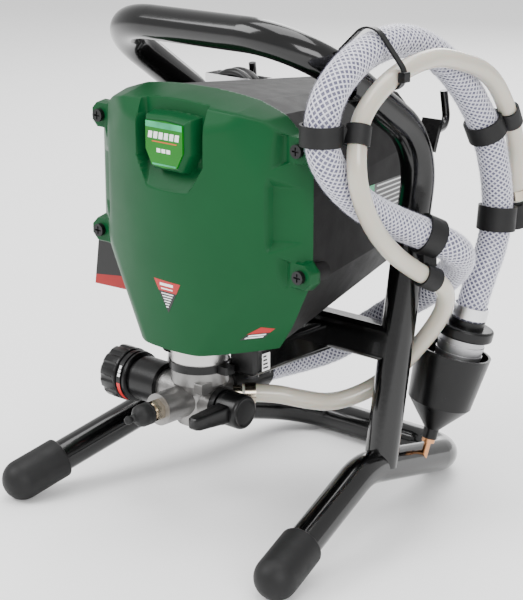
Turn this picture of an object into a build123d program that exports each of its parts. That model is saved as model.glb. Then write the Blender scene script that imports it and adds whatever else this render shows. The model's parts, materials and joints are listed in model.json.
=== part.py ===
from build123d import *
import math
import os

# Airless paint sprayer on a tube stand.  Millimetres, +Z up, front faces -Y, +X is
# the hose side.  The origin is on the floor, under the middle of the whole machine.

# ---------------------------------------------------------------- driving sizes
TUBE_R = 12.5            # 25 mm frame tube
TUBE_WALL = 1.5
GRIP = (98, -87, 370)    # end of the straight grip, right side
CORNER = (105, 38, 285)  # upper rear corner of the handle
UPRIGHT_FOOT = (105, -5, 47)
FRONT_FOOT = (131, -151, 15.4)
BASE_BEND = (108, -29, 52)
REAR_CORNER = (81, 126, 12.5)
HANDLE_BEND_R = 55
BASE_BEND_R = 60
REAR_BEND_R = 45
LEAN = math.degrees(math.atan2(CORNER[1] - UPRIGHT_FOOT[1], CORNER[2] - UPRIGHT_FOOT[2]))

FOOT_R = 16
FOOT_LENGTH = 36

BAR_H = 26               # cross bar height
BAR_D = 25               # cross bar depth
BAR_Z = 137
RAIL_X = 35.5            # middle of each support rail
RAIL_W = 25
RAIL_H = 24
RAIL_TOP = 145
RAIL_FRONT = -77
SEAM_Y = -82             # joint plane of front cover and motor shroud
WALL = 3                 # moulded wall thickness

PUMP_Y = -88             # pump axis
SLEEVE_R = 21.5
SLEEVE_BOTTOM = 128
SLEEVE_TOP = 168
BORE_R = 12
ROD_R = 7
ARM_Z = 98               # height of the manifold arms
KNOB_Z = ARM_Z + 1
PRIME_X = 22
PRIME_Y = PUMP_Y - 2
PRIME_Z = ARM_Z - 1
SEAT_Z = 89.5            # inlet check valve
SEAT_R = 3
BALL_R = 4.5
SUCTION_Z = 103
DRAIN_Z = 100
OUTLET_X = -3
OUTLET_FACE_Y = -129
KNOB_R = 20.5

MOTOR_Z = 262            # motor axis height
CRANK_Z = 214            # crank axis height
GEAR_TEETH = 50
PINION_TEETH = 10
CRANK_R = 8              # half of the pump stroke
GEAR_FRONT = -79
GEAR_BACK = -70

HOSE_R = 12.5            # suction hose, 25 mm outside
HOSE_BORE_R = 9.5
DRAIN_R = 6.75           # drain tube, 13.5 mm outside
DRAIN_BORE_R = 4.75
NOZZLE_R = 6
CORD_R = 3.5             # mains lead
PLUG_PIN_GAP = 19

CUP_TOP = Vector(118, 66, 122.5)
CUP_UP = Vector(0.16, 0.175, 0.97).normalized()
STRAINER_POINT = Vector(119.5, 71, 122)

PARTS = {}
PRINT_ROUTES = []


# ---------------------------------------------------------------- small helpers
def mirrored(point):
    return (-point[0], point[1], point[2])


def rod(start, end, radius, bore=0.0):
    """Round bar from one point to another, with an optional bore."""
    a, b = Vector(start), Vector(end)
    plane = Plane(origin=a, z_dir=b - a)
    low = (Align.CENTER, Align.CENTER, Align.MIN)
    solid = plane * Cylinder(radius, (b - a).length, align=low)
    if bore:
        solid -= plane * Cylinder(bore, (b - a).length, align=low)
    return solid


def cone(start, end, radius, end_radius):
    a, b = Vector(start), Vector(end)
    low = (Align.CENTER, Align.CENTER, Align.MIN)
    return Plane(origin=a, z_dir=b - a) * Cone(radius, end_radius, (b - a).length, align=low)


def block(x, y, z, round_by=0.0, along=Axis.Y):
    """Box from three (low, high) pairs, with rounded edges along one axis."""
    size = [high - low for low, high in (x, y, z)]
    middle = [(high + low) / 2 for low, high in (x, y, z)]
    solid = Pos(*middle) * Box(*size)
    if round_by:
        solid = fillet(solid.edges().filter_by(along), round_by)
    return solid


def swept(path, radius, bore=0.0):
    section = Circle(radius) - Circle(bore) if bore else Circle(radius)
    return sweep(Plane(origin=path @ 0, z_dir=path % 0) * section, path=path)


def bent_tube(points, bend_radii, radius=TUBE_R, bore=TUBE_R - TUBE_WALL):
    """Tube through points, with a bend radius for each inner point."""
    return swept(FilletPolyline(*points, radius=bend_radii), radius, bore)


def hose_path(name, points):
    """Path of a flexible tube: each arc as large as its two runs allow."""
    points = [Vector(p) for p in points]
    radii = []
    for before, here, after in zip(points, points[1:], points[2:]):
        run_in, run_out = here - before, after - here
        turn = math.radians(run_in.get_angle(run_out))
        radii.append(0.45 * min(run_in.length, run_out.length) / math.tan(turn / 2))
    path = FilletPolyline(*points, radius=radii)
    PRINT_ROUTES.append((name, path, radii))
    return path


def outline(y, half_points, inset=0.0):
    """Corners of a closed outline in the plane of one y, mirrored about x = 0."""
    left = [(-x, z) for x, z in reversed(half_points) if x > 0]
    corners = half_points + left
    if inset:
        moved = []
        for before, here, after in zip(corners[-1:] + corners, corners, corners[1:] + corners[:1]):
            first = Vector(here[0] - before[0], here[1] - before[1]).normalized()
            second = Vector(after[0] - here[0], after[1] - here[1]).normalized()
            inward = Vector(first.Y + second.Y, -first.X - second.X)
            shift = inward * (2 * inset / inward.dot(inward))
            moved.append((here[0] + shift.X, here[1] + shift.Y))
        corners = moved
    return [Vector(x, y, z) for x, z in corners]


def flat(corners):
    return make_face(Polyline(*corners, close=True))


def faceted(first, last):
    """Solid between two outlines that have the same number of corners."""
    faces = [flat(first), flat(last)]
    for index in range(len(first)):
        after = (index + 1) % len(first)
        faces.append(flat([first[index], first[after], last[index]]))
        faces.append(flat([first[after], last[after], last[index]]))
    return Solid(Shell(faces))


def keep(name, shape):
    PARTS[name] = shape


# ---------------------------------------------------------------- tube stand
def make_frame():
    foot_end = Vector(FRONT_FOOT) + (Vector(BASE_BEND) - Vector(FRONT_FOOT)).normalized() * 2
    leg_right = tuple(foot_end)
    base_points = [leg_right, BASE_BEND, REAR_CORNER]
    base_points += [mirrored(p) for p in reversed(base_points)]
    base_radii = [BASE_BEND_R, REAR_BEND_R, REAR_BEND_R, BASE_BEND_R]
    keep("base_tube", bent_tube(base_points, base_radii))
    base_core = bent_tube(base_points, base_radii, bore=0)

    handle_points = [UPRIGHT_FOOT, CORNER, GRIP]
    handle_points += [mirrored(p) for p in reversed(handle_points)]
    handle = bent_tube(handle_points, [HANDLE_BEND_R] * 4)
    handle_core = bent_tube(handle_points, [HANDLE_BEND_R] * 4, bore=0)
    keep("handle_tube", handle - base_core)

    upright_y = UPRIGHT_FOOT[1] + math.tan(math.radians(LEAN)) * (BAR_Z - UPRIGHT_FOOT[2])
    half = UPRIGHT_FOOT[0]
    bar = block((-half, half), (-BAR_D / 2, BAR_D / 2), (-BAR_H / 2, BAR_H / 2), 4, Axis.X)
    inner = block((-half, half), (2 - BAR_D / 2, BAR_D / 2 - 2),
                  (2 - BAR_H / 2, BAR_H / 2 - 2), 2, Axis.X)
    place = Pos(0, upright_y, BAR_Z) * Rot(-LEAN, 0, 0)
    cross_bar = place * (bar - inner) - handle_core
    keep("cross_bar", cross_bar)
    bar_core = place * bar

    screw_places = [(RAIL_X, -70), (RAIL_X, -57)]
    rails = []
    for side in (1, -1):
        x = (side * RAIL_X - RAIL_W / 2, side * RAIL_X + RAIL_W / 2)
        inner_x = (x[0] + 2, x[1] - 2)
        z = (RAIL_TOP - RAIL_H, RAIL_TOP)
        outer = block(x, (RAIL_FRONT, upright_y), z, 5)
        hollow = block(inner_x, (RAIL_FRONT, upright_y), (z[0] + 2, z[1] - 2), 3)
        rail = outer - hollow - bar_core
        for px, py in screw_places:
            rail -= rod((side * px, py, z[0] - 1), (side * px, py, z[1] + 1), 3.1)
        rails.append(max(rail.solids(), key=lambda s: s.volume))
    keep("support_rails", Compound(rails))

    caps = []
    for side in (1, -1):
        x = (side * RAIL_X - RAIL_W / 2, side * RAIL_X + RAIL_W / 2)
        face_cap = block(x, (RAIL_FRONT - 4, RAIL_FRONT), (RAIL_TOP - RAIL_H, RAIL_TOP), 5)
        plug = block((x[0] + 2.2, x[1] - 2.2), (RAIL_FRONT, RAIL_FRONT + 4),
                     (RAIL_TOP - RAIL_H + 2.2, RAIL_TOP - 2.2), 2.8)
        caps.append(fillet(face_cap.faces().sort_by(Axis.Y)[0].edges(), 2.5) + plug)
    keep("rail_end_caps", Compound(caps))

    screws = []
    for side in (1, -1):
        for px, py in screw_places:
            low = RAIL_TOP - RAIL_H
            shank = rod((side * px, py, low), (side * px, py, RAIL_TOP + 9), 3)
            screws.append(shank + rod((side * px, py, low - 4), (side * px, py, low), 5))
    keep("housing_bolts", Compound(screws))

    for side, name in ((1, "foot_cap_right"), (-1, "foot_cap_left")):
        foot = Vector(side * FRONT_FOOT[0], FRONT_FOOT[1], FRONT_FOOT[2])
        bend = Vector(side * BASE_BEND[0], BASE_BEND[1], BASE_BEND[2])
        along = (bend - foot).normalized()
        mouth = foot + along * FOOT_LENGTH
        body = Pos(*foot) * Sphere(FOOT_R) + rod(foot, mouth, FOOT_R)
        body = fillet(body.edges().sort_by(Axis((0, 0, 0), tuple(along)))[-1], 2)
        body -= rod(foot + along * 2, mouth + along, TUBE_R)
        keep(name, body - Pos(*foot) * Pos(0, 0, -foot.Z - 5) * Box(60, 60, 10))
    return handle_core


def make_hooks(handle_core):
    for side, name in ((1, "hose_hook"), (-1, "cord_hook")):
        path = FilletPolyline((side * 103, 46.5, 288), (side * 96, 79, 290), (side * 95, 75, 316),
                              radius=[9])
        hook = swept(path, 3)
        plate = Pos(side * 103, 47.5, 288) * Rot(-20, 0, side * -6) * Box(18, 3, 24)
        keep(name, hook + plate - handle_core)


# ---------------------------------------------------------------- housing shells
RIM = [(0, 329), (50, 326), (76, 319.5), (97, 303), (103, 262), (103, 200), (76, 158), (62, 150), (0, 150)]
CREASE = [(0, 322), (40, 320), (66, 314), (76, 300), (76, 262), (76, 206), (49, 169), (45, 142), (0, 142)]
CREASE_Y = -104
FRONT_Y = -120
CROWN_R = 174
SHROUD_FRONT = [(0, 327), (50, 324), (74, 317.5), (93, 301), (99, 262), (99, 200), (74, 154), (0, 152)]
SHROUD_BACK = [(0, 314), (30, 312), (46, 308), (58, 297), (62, 270), (62, 205), (48, 180), (0, 177)]
SHROUD_BACK_Y = 78
ROCKER_PIVOT = (-97, -13, 229)
ROCKER_TILT = -8                  # degrees, in the off position
BADGE = [(0, 309), (18, 308), (18, 288), (12, 277), (0, 276)]
BADGE_SEAT_Y = -120.5
LUGS = ((97, 297), (99, 209))     # screw places on each side, x and z
LUG_Y = -91


def cover_block(inset):
    """The cover as a solid, made smaller all round by inset."""
    rim = outline(SEAM_Y, RIM, inset)
    crease = outline(CREASE_Y + inset * 0.4, CREASE, inset)
    flanks = faceted(rim, crease)
    front = extrude(flat(crease), amount=30, dir=(0, -1, 0))
    crown = Pos(0, FRONT_Y + CROWN_R + inset, 240) * Cylinder(CROWN_R, 260)
    brow = Pos(0, FRONT_Y - 15 + inset, 330) * Rot(52, 0, 0) * Box(260, 60, 40)
    return flanks + ((front & crown) - brow)


def make_housing():
    shell = cover_block(0) - cover_block(WALL)
    for side in (1, -1):
        for x, z in LUGS:
            lug = block((side * x - 9, side * x + 9), (LUG_Y, SEAM_Y), (z - 9, z + 9), 3)
            lug -= rod((side * x, LUG_Y - 1, z), (side * x, SEAM_Y + 1, z), 2.6)
            shell += lug
    gap = rod((0, PUMP_Y, 120), (0, PUMP_Y, 175), SLEEVE_R + 1)
    island = outline(BADGE_SEAT_Y + 8.5, BADGE, -1.5)
    cover = shell + extrude(flat(island), amount=8.5, dir=(0, -1, 0)) - gap
    for side in (1, -1):
        for x, z in LUGS:
            cover -= rod((side * x, -130, z), (side * x, SEAM_Y + 1, z), 2.6)
            cover -= rod((side * x, -130, z), (side * x, LUG_Y, z), 5.2)
    keep("front_cover", cover)

    plate = extrude(flat(outline(BADGE_SEAT_Y, BADGE)), amount=1.5, dir=(0, -1, 0))
    keep("badge_plate", plate)

    front = outline(SEAM_Y, SHROUD_FRONT)
    back = outline(SHROUD_BACK_Y, SHROUD_BACK)
    outer = faceted(front, back)
    inner = faceted(outline(SEAM_Y, SHROUD_FRONT, WALL), outline(SHROUD_BACK_Y, SHROUD_BACK, WALL))
    shroud = outer - inner
    shroud += block((-101, -76), (-30, 4), (212, 246), 3, Axis.X) - inner
    shroud -= block((-102, -70), (-26, 0), (216, 242))
    for side in (1, -1):
        for x, z in LUGS:
            shroud += rod((side * x, SEAM_Y, z), (side * x, SEAM_Y + 16, z), 6.5)
            shroud -= rod((side * x, SEAM_Y - 1, z), (side * x, SEAM_Y + 13, z), 2.6)
    shroud -= rod((-120, -14, 190), (-60, -14, 190), 6)
    shroud -= block((-60, 60), (SEAM_Y - 1, -48), (148, 162))
    keep("motor_shroud", shroud)

    rear = extrude(flat(back), amount=7, dir=(0, 1, 0))
    rear = fillet(rear.faces().sort_by(Axis.Y)[-1].edges(), 3)
    for row in range(6):
        z = 196 + row * 9
        rear -= block((-38, 38), (SHROUD_BACK_Y - 1, SHROUD_BACK_Y + 8), (z, z + 4))
    boss = rod((0, 66, MOTOR_Z), (0, SHROUD_BACK_Y, MOTOR_Z), 15, bore=11)
    keep("rear_cover", rear + boss)

    screws = []
    for side in (1, -1):
        for x, z in LUGS:
            head = rod((side * x, LUG_Y - 3.5, z), (side * x, LUG_Y, z), 4.8)
            head -= block((side * x - 0.6, side * x + 0.6), (LUG_Y - 4, LUG_Y - 2), (z - 3, z + 3))
            head -= block((side * x - 3, side * x + 3), (LUG_Y - 4, LUG_Y - 2), (z - 0.6, z + 0.6))
            screws.append(head + rod((side * x, LUG_Y, z), (side * x, SEAM_Y + 12, z), 2.5))
    keep("cover_screws", Compound(screws))

    body = block((-98, -78), (-25.8, -0.2), (216.2, 241.8))
    keep("switch_body", body - block((-99, -90), (-22, -4), (220, 238)))
    rocker = Cylinder(8, 15, rotation=(90, 0, 0)) & Pos(-0.75, 0, 0) * Box(7.5, 15, 16)
    rocker += Cylinder(1.5, 17.8, rotation=(90, 0, 0))
    keep("switch_rocker", Pos(*ROCKER_PIVOT) * Rot(0, ROCKER_TILT, 0) * rocker)


# ---------------------------------------------------------------- motor and drive
def gear_profile(teeth, pitch_r, top_r, root_r, turn=0.0):
    """Gear outline with straight-sided teeth, narrowed for running clearance."""
    corners = []
    step = 2 * math.pi / teeth
    for index in range(teeth):
        middle = index * step + turn
        for share, radius in ((-0.30, root_r), (-0.13, top_r), (0.13, top_r), (0.30, root_r)):
            angle = middle + share * step
            corners.append(Vector(radius * math.sin(angle), 0, radius * math.cos(angle)))
    return make_face(Polyline(*corners, close=True))


def make_drive():
    pinion_pitch = 8.0
    gear_pitch = pinion_pitch * GEAR_TEETH / PINION_TEETH
    pinion_face = Pos(0, GEAR_FRONT, MOTOR_Z) * gear_profile(
        PINION_TEETH, pinion_pitch, pinion_pitch + 1.3, pinion_pitch - 2.2)
    pinion = extrude(pinion_face, amount=GEAR_BACK - GEAR_FRONT, dir=(0, 1, 0))
    keep("drive_pinion", pinion - rod((0, -90, MOTOR_Z), (0, -60, MOTOR_Z), 4))

    gear_face = Pos(0, GEAR_FRONT, CRANK_Z) * gear_profile(
        GEAR_TEETH, gear_pitch, gear_pitch + 1.3, gear_pitch - 2.2, math.pi / GEAR_TEETH)
    gear = extrude(gear_face, amount=GEAR_BACK - GEAR_FRONT, dir=(0, 1, 0))
    for index in range(6):
        angle = index * math.pi / 3
        x, z = 25 * math.sin(angle), CRANK_Z + 25 * math.cos(angle)
        gear -= rod((x, -90, z), (x, -60, z), 6)
    gear += rod((0, GEAR_BACK, CRANK_Z), (0, -50, CRANK_Z), 8)
    gear += rod((0, -96, CRANK_Z + CRANK_R), (0, GEAR_FRONT, CRANK_Z + CRANK_R), 4)
    keep("crank_gear", gear)

    shaft = rod((0, GEAR_FRONT, MOTOR_Z), (0, 75, MOTOR_Z), 4)
    keep("motor_shaft", shaft)
    core = rod((0, -38, MOTOR_Z), (0, 8, MOTOR_Z), 22, bore=4)
    for index in range(12):
        slot = Pos(0, -15, MOTOR_Z) * Rot(0, index * 30, 0) * Pos(0, 0, 21) * Box(2.4, 60, 5)
        core -= slot
    commutator = rod((0, 8, MOTOR_Z), (0, 28, MOTOR_Z), 11, bore=4)
    keep("motor_rotor", core + commutator)
    stator = rod((0, -38, MOTOR_Z), (0, 8, MOTOR_Z), 42, bore=23)
    for y in ((-46, -38), (8, 16)):
        stator += rod((0, y[0], MOTOR_Z), (0, y[1], MOTOR_Z), 38, bore=26)
    keep("motor_stator", stator)

    fan = rod((0, 40, MOTOR_Z), (0, 43, MOTOR_Z), 38, bore=4)
    fan += rod((0, 43, MOTOR_Z), (0, 56, MOTOR_Z), 9, bore=4)
    for index in range(9):
        blade = Pos(0, 48, MOTOR_Z) * Rot(0, index * 40, 0) * Pos(0, 0, 23) * Box(2, 10, 29)
        fan += blade
    keep("cooling_fan", fan)

    holders = []
    for side in (1, -1):
        sleeve = block((side * 24.5 - 11.5, side * 24.5 + 11.5), (16, 27.5),
                       (MOTOR_Z - 6, MOTOR_Z + 6))
        slot = block((side * 24.5 - 13, side * 24.5 + 13), (18, 26), (MOTOR_Z - 4, MOTOR_Z + 4))
        holders.append(sleeve - slot)
        holders.append(block((side * 20.5 - 9, side * 20.5 + 9), (18.1, 25.9),
                             (MOTOR_Z - 3.9, MOTOR_Z + 3.9)))
    keep("motor_brushes", Compound(holders))

    bearings = [rod((0, 67, MOTOR_Z), (0, 75, MOTOR_Z), 11, bore=4.03),
                rod((0, -66, MOTOR_Z), (0, -58, MOTOR_Z), 11, bore=4.03),
                rod((0, -66, CRANK_Z), (0, -53, CRANK_Z), 14, bore=8.04)]
    keep("shaft_bearings", Compound(bearings))

    plate = block((-52, 52), (-66, -50), (160, 300), 8)
    plate -= rod((0, -66, MOTOR_Z), (0, -58, MOTOR_Z), 11)
    plate -= rod((0, -70, MOTOR_Z), (0, -40, MOTOR_Z), 5)
    plate -= rod((0, -66, CRANK_Z), (0, -53, CRANK_Z), 14)
    plate -= rod((0, -54, CRANK_Z), (0, -48, CRANK_Z), 9)
    shelf = block((-27, 27), (-110, -50), (156, 168), 4, Axis.Z)
    feet = [block((side * RAIL_X - 12, side * RAIL_X + 12), (-77, -50), (RAIL_TOP, 168), 2, Axis.Z)
            for side in (1, -1)]
    motor_flange = rod((0, -50, MOTOR_Z), (0, -38, MOTOR_Z), 42, bore=38.5)
    housing = plate + shelf + feet[0] + feet[1] + motor_flange
    housing -= rod((0, PUMP_Y, 150), (0, PUMP_Y, 170), SLEEVE_R)
    for side in (1, -1):
        for y in (-70, -57):
            housing -= rod((side * RAIL_X, y, RAIL_TOP - 1), (side * RAIL_X, y, RAIL_TOP + 9), 3)
    keep("gear_housing", housing)

    yoke = block((-20, 20), (-95, -82), (CRANK_Z - 26, CRANK_Z + 26), 4)
    yoke -= block((-13, 13), (-96, -81), (CRANK_Z - 20.5, CRANK_Z + 20.5), 3)
    keep("piston_yoke", yoke)
    piston = rod((0, PUMP_Y, 140), (0, PUMP_Y, CRANK_Z - 26), ROD_R)
    piston += rod((0, PUMP_Y, 138), (0, PUMP_Y, 146), BORE_R - 0.05)
    keep("piston_rod", piston)

    board = block((-30, 30), (-50, 30), (182, 184))
    board += block((-22, -6), (-30, 0), (184, 198)) + rod((14, -10, 184), (14, -10, 204), 9)
    keep("speed_control_board", board)


# ---------------------------------------------------------------- pump and valves
def make_pump():
    sleeve = rod((0, PUMP_Y, SLEEVE_BOTTOM), (0, PUMP_Y, SLEEVE_TOP), SLEEVE_R, bore=BORE_R)
    keep("pump_cylinder", sleeve)
    gland = rod((0, PUMP_Y, SLEEVE_TOP - 8), (0, PUMP_Y, SLEEVE_TOP), BORE_R, bore=ROD_R + 0.03)
    gland += rod((0, PUMP_Y, SLEEVE_TOP), (0, PUMP_Y, SLEEVE_TOP + 2.5), 8.6, bore=ROD_R + 0.03)
    keep("packing_gland", gland)

    ring = rod((0, PUMP_Y, 122), (0, PUMP_Y, SLEEVE_BOTTOM), 22.5, bore=BORE_R)
    ring += block((18, 31), (PUMP_Y - 5, PUMP_Y + 5), (122, 128), 1.5, Axis.Z)
    keep("clamp_ring", ring)

    body = rod((0, PUMP_Y, 80), (0, PUMP_Y, 116), 17) + rod((0, PUMP_Y, 112), (0, PUMP_Y, 122), 21.5)
    body += cone((0, PUMP_Y, 104), (0, PUMP_Y, 112), 17, 21.5)
    body += rod((OUTLET_X, PUMP_Y, ARM_Z), (OUTLET_X, OUTLET_FACE_Y, ARM_Z), 12)
    body += rod((0, PRIME_Y, PRIME_Z), (PRIME_X, PRIME_Y, PRIME_Z), 12)
    body += rod((0, PUMP_Y, KNOB_Z), (-34, PUMP_Y, KNOB_Z), 13)
    body += rod((0, PUMP_Y, SUCTION_Z), (0, -64, SUCTION_Z), 12)
    body += rod((0, PUMP_Y, DRAIN_Z), (17, PUMP_Y + 17, DRAIN_Z), 7)
    body += block((12, 20), (PUMP_Y - 19, PUMP_Y - 8), (108, 116), 1, Axis.X)
    body -= rod((0, PUMP_Y, 86), (0, PUMP_Y, 123), 8)
    body -= rod((OUTLET_X, PUMP_Y, ARM_Z), (OUTLET_X, OUTLET_FACE_Y - 1, ARM_Z), 5)
    body -= rod((0, PRIME_Y, PRIME_Z), (PRIME_X + 1, PRIME_Y, PRIME_Z), 5)
    body -= rod((0, PUMP_Y, KNOB_Z), (-35, PUMP_Y, KNOB_Z), 7)
    body -= rod((0, PUMP_Y, SUCTION_Z), (0, -63, SUCTION_Z), 7)
    body -= rod((0, PUMP_Y, DRAIN_Z), (18, PUMP_Y + 18, DRAIN_Z), 3.5)
    body += rod((0, PUMP_Y, 86), (0, PUMP_Y, SEAT_Z), 8, bore=SEAT_R)
    keep("pump_manifold", body)
    ball_z = SEAT_Z + math.sqrt(BALL_R ** 2 - SEAT_R ** 2) + 0.05
    keep("inlet_ball", Pos(0, PUMP_Y, ball_z) * Sphere(BALL_R))

    housing = rod((-34, PUMP_Y, KNOB_Z), (-58, PUMP_Y, KNOB_Z), 17)
    housing += rod((-26, PUMP_Y, KNOB_Z), (-34, PUMP_Y, KNOB_Z), 6.9)
    housing += rod((-58, PUMP_Y, KNOB_Z), (-84, PUMP_Y, KNOB_Z), 8)
    housing -= rod((-50, PUMP_Y, KNOB_Z), (-85, PUMP_Y, KNOB_Z), 5)
    keep("regulator_housing", housing)
    spring = []
    for turn in range(5):
        x = -78 + turn * 5
        spring.append(Pos(x, PUMP_Y, KNOB_Z) * Rot(0, 90, 0) * Torus(3.6, 0.8))
    spring_core = rod((-80, PUMP_Y, KNOB_Z), (-52, PUMP_Y, KNOB_Z), 3.2)
    for coil in spring:
        spring_core += coil
    keep("regulator_spring", spring_core)

    knob = rod((-58.5, PUMP_Y, KNOB_Z), (-89, PUMP_Y, KNOB_Z), KNOB_R)
    knob = chamfer(knob.edges().sort_by(Axis.X)[0], 3)
    for index in range(12):
        angle = math.radians(index * 30)
        y, z = PUMP_Y + 22 * math.sin(angle), KNOB_Z + 22 * math.cos(angle)
        knob -= rod((-76, y, z), (-90, y, z), 3)
    knob -= rod((-58, PUMP_Y, KNOB_Z), (-85, PUMP_Y, KNOB_Z), 8.06)
    keep("pressure_knob", knob)

    x, y, z = OUTLET_X, OUTLET_FACE_Y, ARM_Z
    hexagon = Plane(origin=(x, y - 7, z), z_dir=(0, 1, 0)) * extrude(RegularPolygon(8.5, 6), amount=7)
    fitting = hexagon + rod((x, y, z), (x, y + 12, z), 4.95) + rod((x, y - 19, z), (x, y - 7, z), 6.6)
    fitting -= rod((x, y + 13, z), (x, y - 20, z), 3)
    keep("outlet_fitting", fitting)
    cap = rod((x, y - 9, z), (x, y - 22.5, z), 8.3)
    cap = fillet(cap.edges().sort_by(Axis.Y)[0], 3.5)
    cap += rod((x, y - 22, z), (x, y - 28, z), 1.8) + Pos(x, y - 30, z) * Sphere(3.2)
    keep("outlet_cap", cap - rod((x, y - 8, z), (x, y - 19.4, z), 6.65))

    px, py, pz = PRIME_X, PRIME_Y, PRIME_Z
    valve = rod((px, py, pz), (px + 5, py, pz), 14) - rod((px - 1, py, pz), (px + 6, py, pz), 3.5)
    keep("prime_valve_body", valve + rod((px - 8, py, pz), (px, py, pz), 4.9, bore=3.5))
    knob = rod((px + 5.4, py, pz), (px + 25, py, pz), 12.8)
    knob = fillet(knob.edges().sort_by(Axis.X)[-1], 1.5)
    knob += block((px + 7, px + 19), (py - 43, py), (pz - 6.5, pz + 6.5), 3, Axis.Y)
    keep("prime_knob", knob + rod((px - 10, py, pz), (px + 10, py, pz), 3.44))

    start = Vector(17, PUMP_Y + 17, DRAIN_Z)
    way = Vector(1, 1, 0).normalized()
    barb = rod(start - way * 5, start + way * 3, 3.45) + rod(start, start + way * 6, 6)
    barb += rod(start + way * 6, start + way * 16, 4.7)
    barb -= rod(start - way * 6, start + way * 17, 2.4)
    keep("drain_barb", barb)

    z = SUCTION_Z
    nut = rod((0, -64, z), (0, -36, z), 15, bore=7)
    nut += rod((0, -38, z), (0, -22, z), 14.3, bore=HOSE_R + 0.1)
    nut += rod((0, -38, z), (0, -24, z), 9.4, bore=7)
    keep("suction_fitting", nut)


# ---------------------------------------------------------------- hoses and cup
SUCTION_ROUTE = [
    (0, -36, 103), (0, -12, 103), (8, 13, 104), (27, 33, 112), (51, 46, 131), (80, 52, 154),
    (107, 52, 172), (131, 46, 192), (147, 31, 208), (150, 12, 220.5), (140, -7, 231),
    (131.5, -32, 243), (127.5, -59, 258), (126, -86, 280), (126, -103, 304), (126, -101, 330),
    (125, -84, 349), (122, -52, 363), (120, -12, 366.5), (121, 24, 355), (124, 56, 330),
    (128, 82, 294), (130, 94, 261), (130.5, 99.5, 228), (130.3, 94, 200), (128, 80.3, 173.5),
    (123.5, 75.4, 146.3),
]
DRAIN_ROUTE = [
    (21.95, -66.05, 100), (37, -51, 100), (51, -34, 94), (62, -12, 87), (75, 10, 92),
    (90, 26, 106), (106, 30, 126), (122, 30, 146), (137, 25, 166), (148, 13, 184),
    (151, -1, 196.5), (146, -19, 206), (142, -44, 224), (143.5, -70, 249), (147.5, -90, 279),
    (144, -88, 304), (139, -77, 326), (141.5, -47, 348), (143, -8, 355.5), (143.5, 18, 351.5),
    (142.3, 64, 337), (138.5, 94, 307), (135, 113.5, 276), (131, 117, 256), (131, 120.5, 231),
]
# Where each clip sits: on the suction hose, on the drain tube, and its width.
CLIP_PLACES = [
    ((126, -102, 314), (141, -84, 312), 14), ((128, 84, 292), (137, 100, 300), 14),
    ((143, -4, 228), (149, -10, 202), 14),
]
LAST_CLIP = (130.5, 98, 222)
ZIP_TIE_Y = -45


def spot(path, near):
    """Point and direction of a path where it passes nearest to a place."""
    shares = [index / 500 for index in range(501)]
    share = min(shares, key=lambda value: ((path @ value) - Vector(near)).length)
    return path @ share, path % share


def ring_on(point, way, radius, thickness, width, gap=0.35):
    half = way * (width / 2)
    return rod(point - half, point + half, radius + gap + thickness, bore=radius + gap)


def double_clip(hose_at, drain_at, width, small=DRAIN_R):
    """Clip with a large ring on the suction hose and a small one on the drain tube."""
    p, way = hose_at
    q, way_q = drain_at
    clip = ring_on(p, way, HOSE_R, 1.8, width) + ring_on(q, way_q, small, 1.6, width)
    bridge_way = (q - p).normalized()
    a = p + bridge_way * (HOSE_R + 1)
    b = q - bridge_way * (small + 1)
    if (b - a).dot(bridge_way) > 0.2:
        frame = Plane(origin=a, z_dir=bridge_way, x_dir=way)
        low = (Align.CENTER, Align.CENTER, Align.MIN)
        clip += frame * Box(width * 0.8, 4, (b - a).length, align=low)
    half = way * (width + 2)
    half_q = way_q * (width + 2)
    clip -= rod(p - half, p + half, HOSE_R + 0.35)
    clip -= rod(q - half_q, q + half_q, small + 0.35)
    return clip


def make_hoses():
    suction = hose_path("suction_hose", SUCTION_ROUTE)
    drain = hose_path("drain_hose", DRAIN_ROUTE)
    keep("suction_hose", swept(suction, HOSE_R, HOSE_BORE_R))
    keep("drain_hose", swept(drain, DRAIN_R, DRAIN_BORE_R))
    clips = [double_clip(spot(suction, near), spot(drain, near_drain), width)
             for near, near_drain, width in CLIP_PLACES]
    tip, way = drain @ 1, drain % 1
    clips.append(double_clip(spot(suction, LAST_CLIP), (tip + way * 12, way), 18, NOZZLE_R))
    keep("hose_clips", Compound(clips))

    inlet, inlet_way = drain @ 0, drain % 0
    clamps = [ring_on(inlet + inlet_way * 6, inlet_way, DRAIN_R, 0.9, 8, gap=0.1)]
    nozzle = rod(tip, tip + way * 22, NOZZLE_R, bore=3.4) + rod(tip - way * 8, tip, 4.7, bore=3.4)
    keep("drain_nozzle", nozzle)
    clamps.append(ring_on(tip - way * 5, way, DRAIN_R, 0.9, 7, gap=0.1))
    keep("drain_hose_clamps", Compound(clamps))

    circles = [Pos(100.4, 341.4) * Circle(15.8), Pos(121.7, 363) * Circle(14.2),
               Pos(141.5, 348.5) * Circle(9.2)]
    hull = make_hull([edge for c in circles for edge in c.edges()])
    band = Face(hull.wire()) if not isinstance(hull, Face) else hull
    strap = offset(band, amount=1.4) - band
    strap = Plane(origin=(0, ZIP_TIE_Y, 0), x_dir=(1, 0, 0), z_dir=(0, -1, 0)) * extrude(strap, amount=4.6)
    head = block((148.5, 154), (ZIP_TIE_Y - 5.5, ZIP_TIE_Y + 0.9), (344, 351), 1)
    keep("zip_tie", strap + head)


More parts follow.
